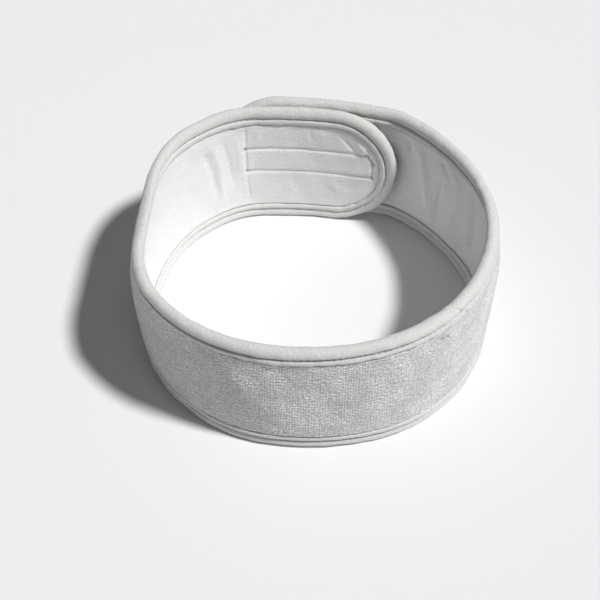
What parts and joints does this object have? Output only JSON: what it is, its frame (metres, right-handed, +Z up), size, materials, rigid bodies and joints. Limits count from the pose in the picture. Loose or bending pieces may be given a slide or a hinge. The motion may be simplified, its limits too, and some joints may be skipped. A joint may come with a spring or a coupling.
{
  "type": "sports headband",
  "caption": "Terry fabric headband closed into a ring, with bound edges and rounded ends that lap behind the head on hook and loop tape.",
  "frame": {"origin": "on the floor under the middle of the outline of the standing ring", "axes": "+Z up across the width of the band, -Y to its front, +Y to the lapped ends at the back, +X to its right side as seen from the front"},
  "size_m": [0.1846, 0.1745, 0.07],
  "materials": {
    "terry": "white cotton terry with uncut loops",
    "interlining": "thin soft foam, hidden",
    "binding": "smooth white knit bias binding",
    "thread": "white polyester sewing thread",
    "loop_tape": "white brushed loop tape",
    "hook_tape": "white woven tape with moulded hooks"
  },
  "bodies": {
    "inner_end": {"inner_end_outer_terry": "terry", "inner_end_core": "interlining", "inner_end_inner_terry": "terry", "inner_end_binding": "binding", "inner_end_outer_edge_thread": "thread", "inner_end_inner_edge_thread": "thread", "loop_tape": "loop_tape", "loop_tape_thread": "thread", "loop_tape_back_thread": "thread"},
    "band": {"band_outer_terry": "terry", "band_core": "interlining", "band_inner_terry": "terry", "band_top_binding": "binding", "band_bottom_binding": "binding", "band_outer_top_thread": "thread", "band_outer_bottom_thread": "thread", "band_inner_top_thread": "thread", "band_inner_bottom_thread": "thread"},
    "right_side": {"right_side_outer_terry": "terry", "right_side_core": "interlining", "right_side_inner_terry": "terry", "right_side_top_binding": "binding", "right_side_bottom_binding": "binding", "right_side_outer_top_thread": "thread", "right_side_outer_bottom_thread": "thread", "right_side_inner_top_thread": "thread", "right_side_inner_bottom_thread": "thread"},
    "flap": {"flap_outer_terry": "terry", "flap_core": "interlining", "flap_inner_terry": "terry", "flap_top_binding": "binding", "flap_bottom_binding": "binding", "flap_outer_top_thread": "thread", "flap_outer_bottom_thread": "thread", "flap_inner_top_thread": "thread", "flap_inner_bottom_thread": "thread", "flap_hook_tape": "hook_tape", "flap_hook_tape_thread": "thread", "flap_hook_tape_back_thread": "thread"},
    "flap_tip": {"flap_tip_outer_terry": "terry", "flap_tip_core": "interlining", "flap_tip_inner_terry": "terry", "flap_tip_binding": "binding", "flap_tip_outer_edge_thread": "thread", "flap_tip_inner_edge_thread": "thread", "flap_tip_hook_tape": "hook_tape", "flap_tip_hook_tape_thread": "thread", "flap_tip_hook_tape_back_thread": "thread"}
  },
  "joints": [
    {"name": "inner_end_flex", "type": "hinge", "parent": "band", "child": "inner_end", "pos_m": [-0.05442, 0.05322, 0.035], "axis": [0, 0, -1], "range_deg": [0, 30]},
    {"name": "side_open", "type": "hinge", "parent": "band", "child": "right_side", "pos_m": [0.08179, -0.0374, 0.035], "axis": [0, 0, -1], "range_deg": [0, 45]},
    {"name": "flap_peel", "type": "hinge", "parent": "right_side", "child": "flap", "pos_m": [0.04407, 0.0767, 0.035], "axis": [0, 0, -1], "range_deg": [0, 60]},
    {"name": "tip_peel", "type": "hinge", "parent": "flap", "child": "flap_tip", "pos_m": [-0.01418, 0.08761, 0.035], "axis": [0, 0, -1], "range_deg": [0, 60]}
  ]
}
